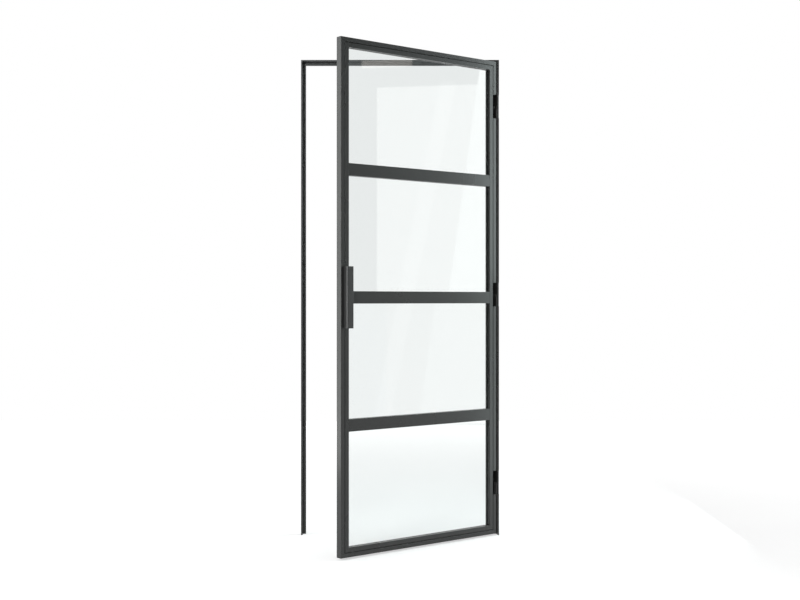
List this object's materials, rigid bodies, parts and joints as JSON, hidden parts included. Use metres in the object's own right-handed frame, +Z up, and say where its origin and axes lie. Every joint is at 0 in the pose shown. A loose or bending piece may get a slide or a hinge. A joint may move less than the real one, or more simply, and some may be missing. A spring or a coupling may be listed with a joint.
{
  "type": "steel door",
  "caption": "Slim black steel door for indoors, glazed leaf with horizontal bars, hung open on pin hinges in its own steel frame, with an angle as pull handle.",
  "frame": {"origin": "on the floor, halfway across the door frame, in the plane of the frame's front face", "axes": "+Z up, +X towards the hinge side, +Y from the side the leaf opens to, through the doorway"},
  "size_m": [0.875, 0.5979, 2.1],
  "materials": {
    "powder_coated_steel": "matt fine-textured powder coat",
    "handle_coat": "matt fine-textured powder coat",
    "hinge_coat": "satin black",
    "pin_steel": "ground",
    "washer_nylon": "matt",
    "screw_steel": "black zinc",
    "bare_steel": "zinc plated",
    "magnet": "nickel plated",
    "seal_rubber": "matt",
    "gasket_rubber": "matt",
    "block_plastic": "matt",
    "clear_glass": "polished, clear"
  },
  "bodies": {
    "door_frame": {"latch_jamb": "powder_coated_steel", "hinge_jamb": "powder_coated_steel", "frame_head": "powder_coated_steel", "latch_stop": "powder_coated_steel", "hinge_stop": "powder_coated_steel", "head_stop": "powder_coated_steel", "latch_corner_cleat": "bare_steel", "hinge_corner_cleat": "bare_steel", "cleat_screws": "screw_steel", "latch_seal": "seal_rubber", "hinge_seal": "seal_rubber", "head_seal": "seal_rubber", "catch_magnet": "magnet", "frame_hinge_screws": "screw_steel", "frame_hinge_half_bottom": "hinge_coat", "frame_hinge_half_middle": "hinge_coat", "frame_hinge_half_top": "hinge_coat", "hinge_pin_bottom": "pin_steel", "hinge_pin_middle": "pin_steel", "hinge_pin_top": "pin_steel", "hinge_washer_bottom": "washer_nylon", "hinge_washer_middle": "washer_nylon", "hinge_washer_top": "washer_nylon"},
    "door_leaf": {"latch_stile": "powder_coated_steel", "hinge_stile": "powder_coated_steel", "top_rail": "powder_coated_steel", "bottom_rail": "powder_coated_steel", "latch_bead": "powder_coated_steel", "hinge_bead": "powder_coated_steel", "top_bead": "powder_coated_steel", "bottom_bead": "powder_coated_steel", "front_bar_1": "powder_coated_steel", "front_bar_2": "powder_coated_steel", "front_bar_3": "powder_coated_steel", "back_bar_1": "powder_coated_steel", "back_bar_2": "powder_coated_steel", "back_bar_3": "powder_coated_steel", "pull_handle": "handle_coat", "leaf_hinge_half_bottom": "hinge_coat", "leaf_hinge_half_middle": "hinge_coat", "leaf_hinge_half_top": "hinge_coat", "leaf_hinge_block_bottom": "hinge_coat", "leaf_hinge_block_middle": "hinge_coat", "leaf_hinge_block_top": "hinge_coat", "leaf_hinge_screws": "screw_steel", "bead_studs": "screw_steel", "glazing_gasket": "gasket_rubber", "glazing_tape": "gasket_rubber", "front_bar_tapes": "gasket_rubber", "back_bar_tapes": "gasket_rubber", "setting_blocks": "block_plastic", "glass_sheet": "clear_glass"}
  },
  "joints": [
    {"name": "leaf_swing", "type": "hinge", "parent": "door_frame", "child": "door_leaf", "pos_m": [0.4315, -0.0063, 0], "axis": [0, 0, 1], "range_deg": [-39.65, 130.35]}
  ]
}
